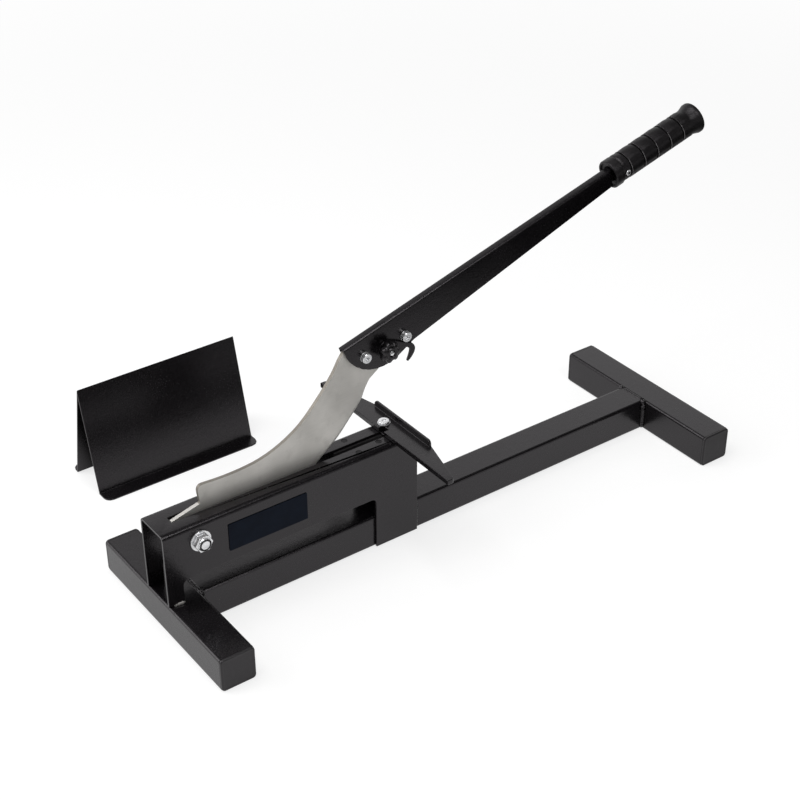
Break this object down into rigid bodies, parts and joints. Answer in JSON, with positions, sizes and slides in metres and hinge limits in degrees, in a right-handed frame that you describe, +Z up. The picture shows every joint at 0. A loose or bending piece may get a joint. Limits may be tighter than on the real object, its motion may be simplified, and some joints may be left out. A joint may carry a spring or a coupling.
{
  "type": "laminate flooring cutter",
  "caption": "Bench cutter for laminate boards: a long lever swings a curved blade down through a slotted table with a rear fence, on a welded square-tube base.",
  "frame": {"origin": "on the floor plane under the middle of the spine tube, halfway along the base", "axes": "+X along the spine from the blade's pivot end to the rear foot, +Z up, -Y towards the side with the pivot nut, the latch and the label plate"},
  "size_m": [0.7301, 0.4467, 0.4084],
  "materials": {
    "powder_coat": "semi-gloss black powder coat with a fine orange-peel texture",
    "black_plastic": "black moulded plastic",
    "black_rubber": "black moulded rubber",
    "zinc_plate": "bright zinc plate",
    "blade_steel": "grey satin steel with ground bevels",
    "plain_steel": "plain machined steel",
    "bronze": "sintered bronze",
    "dark_nylon": "dark nylon strip",
    "label_navy": "plain dark navy plate, bare"
  },
  "bodies": {
    "base": {"front_foot_tube": "powder_coat", "front_foot_cap_near": "black_plastic", "front_foot_cap_far": "black_plastic", "rear_foot_tube": "powder_coat", "rear_foot_cap_near": "black_plastic", "rear_foot_cap_far": "black_plastic", "spine_tube": "powder_coat", "table_channel": "powder_coat", "blade_guide_near": "dark_nylon", "blade_guide_far": "dark_nylon", "guide_screw_near": "plain_steel", "guide_screw_near_rear": "plain_steel", "guide_screw_far": "plain_steel", "fence_bar": "powder_coat", "fence_bolt": "zinc_plate", "fence_washer_top": "zinc_plate", "fence_washer_under": "zinc_plate", "fence_nut": "zinc_plate", "pivot_bolt": "zinc_plate", "pivot_nut": "zinc_plate", "pivot_washer_near": "zinc_plate", "pivot_washer_far": "zinc_plate", "pivot_spacer_near": "plain_steel", "pivot_spacer_far": "plain_steel", "label_plate": "label_navy"},
    "lever": {"blade": "blade_steel", "blade_bush": "bronze", "lever_channel": "powder_coat", "lever_bolt_front": "zinc_plate", "lever_bolt_rear": "zinc_plate", "lever_washer_front_near": "zinc_plate", "lever_washer_front_far": "zinc_plate", "lever_washer_rear_near": "zinc_plate", "lever_washer_rear_far": "zinc_plate", "lever_nut_front": "zinc_plate", "lever_nut_rear": "zinc_plate", "latch_stud": "plain_steel", "grip": "black_rubber", "grip_screw": "zinc_plate"},
    "latch_hook": {"latch_hook": "powder_coat"},
    "latch_knob": {"latch_knob": "black_plastic"},
    "v_support": {"v_support": "powder_coat"}
  },
  "joints": [
    {"name": "lever_swing", "type": "hinge", "parent": "base", "child": "lever", "pos_m": [-0.311, 0, 0.1095], "axis": [0, -1, 0], "range_deg": [-16.8, 50]},
    {"name": "hook_swing", "type": "hinge", "parent": "lever", "child": "latch_hook", "pos_m": [-0.06608, 0, 0.24155], "axis": [0, -1, 0], "range_deg": [-15, 0]},
    {"name": "knob_turn", "type": "hinge", "parent": "lever", "child": "latch_knob", "pos_m": [-0.06608, 0, 0.24155], "axis": [0, -1, 0], "continuous": true},
    {"name": "support_lift", "type": "slide", "parent": "base", "child": "v_support", "axis": [0, 0, 1], "range_m": [0, 0.15]}
  ]
}
